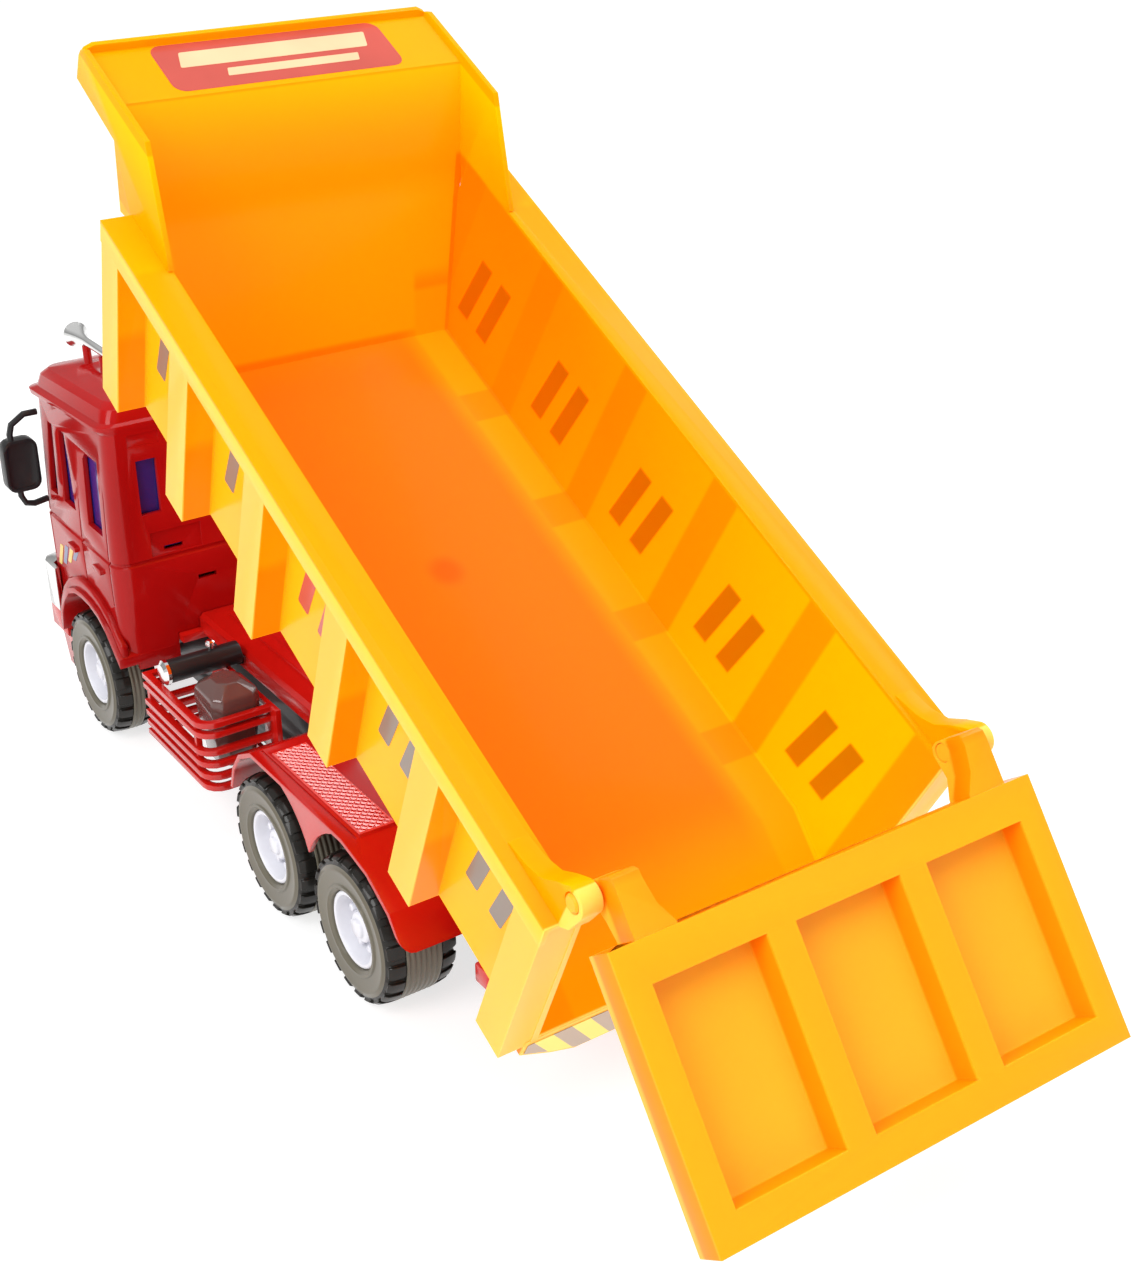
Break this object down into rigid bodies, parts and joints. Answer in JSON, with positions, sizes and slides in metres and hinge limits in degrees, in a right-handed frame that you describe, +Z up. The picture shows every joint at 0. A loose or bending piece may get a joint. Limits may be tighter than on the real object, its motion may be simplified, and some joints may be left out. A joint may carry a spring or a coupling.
{
  "type": "toy tipper truck",
  "caption": "Push-along toy tipper truck: tipping open bed with canopy and swinging tailgate, red cab over, finned side guards and free-rolling wheels.",
  "frame": {"origin": "on the ground under the middle of the whole toy's box at rest", "axes": "+X towards the cab, +Y to the truck's left, +Z up"},
  "size_m": [0.6008, 0.1948, 0.3652],
  "materials": {
    "red_plastic": "glossy moulded plastic",
    "black_plastic": "satin moulded plastic",
    "bed_plastic": "glossy, slightly translucent moulded plastic",
    "tailgate_plastic": "glossy moulded plastic",
    "blue_glazing": "glossy dark blue plastic",
    "chrome_plate": "vacuum plated plastic",
    "smoked_plastic": "smoked brown plastic",
    "steel": "plain steel",
    "white_plastic": "glossy moulded plastic",
    "tyre": "hollow black vinyl"
  },
  "bodies": {
    "chassis": {"chassis_top": "red_plastic", "chassis_base": "black_plastic", "cab_shell": "red_plastic", "cab_glazing": "blue_glazing", "front_grille": "chrome_plate", "front_bumper": "red_plastic", "rear_bumper": "red_plastic", "bed_hinge_pin": "steel", "mudguard_left": "red_plastic", "mudguard_right": "red_plastic", "side_guard_left": "red_plastic", "side_guard_right": "red_plastic", "fuel_tank_left": "smoked_plastic", "fuel_tank_right": "smoked_plastic", "air_tank_left": "black_plastic", "air_tank_right": "black_plastic", "air_tank_cap_left": "chrome_plate", "air_tank_cap_right": "chrome_plate", "filler_knob_left": "chrome_plate", "filler_knob_right": "chrome_plate", "mirror_left": "black_plastic", "mirror_right": "black_plastic", "horn_left": "chrome_plate", "horn_right": "chrome_plate", "screw_1": "steel", "screw_2": "steel", "screw_3": "steel", "screw_4": "steel", "screw_5": "steel", "screw_6": "steel", "screw_7": "steel"},
    "dump_bed": {"bed_tub": "bed_plastic"},
    "tailgate": {"tailgate": "tailgate_plastic", "tailgate_pin_left": "steel", "tailgate_pin_right": "steel"},
    "wheels_front": {"axle_front": "steel", "hub_front_left": "white_plastic", "hub_front_right": "white_plastic", "tyre_front_left": "tyre", "tyre_front_right": "tyre"},
    "wheels_rear_1": {"axle_rear_1": "steel", "hub_rear_1_left": "white_plastic", "hub_rear_1_right": "white_plastic", "tyre_rear_1_left": "tyre", "tyre_rear_1_right": "tyre"},
    "wheels_rear_2": {"axle_rear_2": "steel", "hub_rear_2_left": "white_plastic", "hub_rear_2_right": "white_plastic", "tyre_rear_2_left": "tyre", "tyre_rear_2_right": "tyre"}
  },
  "joints": [
    {"name": "bed_tilt", "type": "hinge", "parent": "chassis", "child": "dump_bed", "pos_m": [-0.1202, 0, 0.09], "axis": [0, -1, 0], "range_deg": [-27.04, 12]},
    {"name": "tailgate_swing", "type": "hinge", "parent": "dump_bed", "child": "tailgate", "pos_m": [-0.2199, 0, 0.1524], "axis": [0, 1, 0], "range_deg": [-64.08, 50]},
    {"name": "front_roll", "type": "hinge", "parent": "chassis", "child": "wheels_front", "pos_m": [0.2347, 0, 0.0335], "axis": [0, 1, 0], "continuous": true},
    {"name": "rear_1_roll", "type": "hinge", "parent": "chassis", "child": "wheels_rear_1", "pos_m": [0.0319, 0, 0.0335], "axis": [0, 1, 0], "continuous": true},
    {"name": "rear_2_roll", "type": "hinge", "parent": "chassis", "child": "wheels_rear_2", "pos_m": [-0.0442, 0, 0.0335], "axis": [0, 1, 0], "continuous": true}
  ]
}
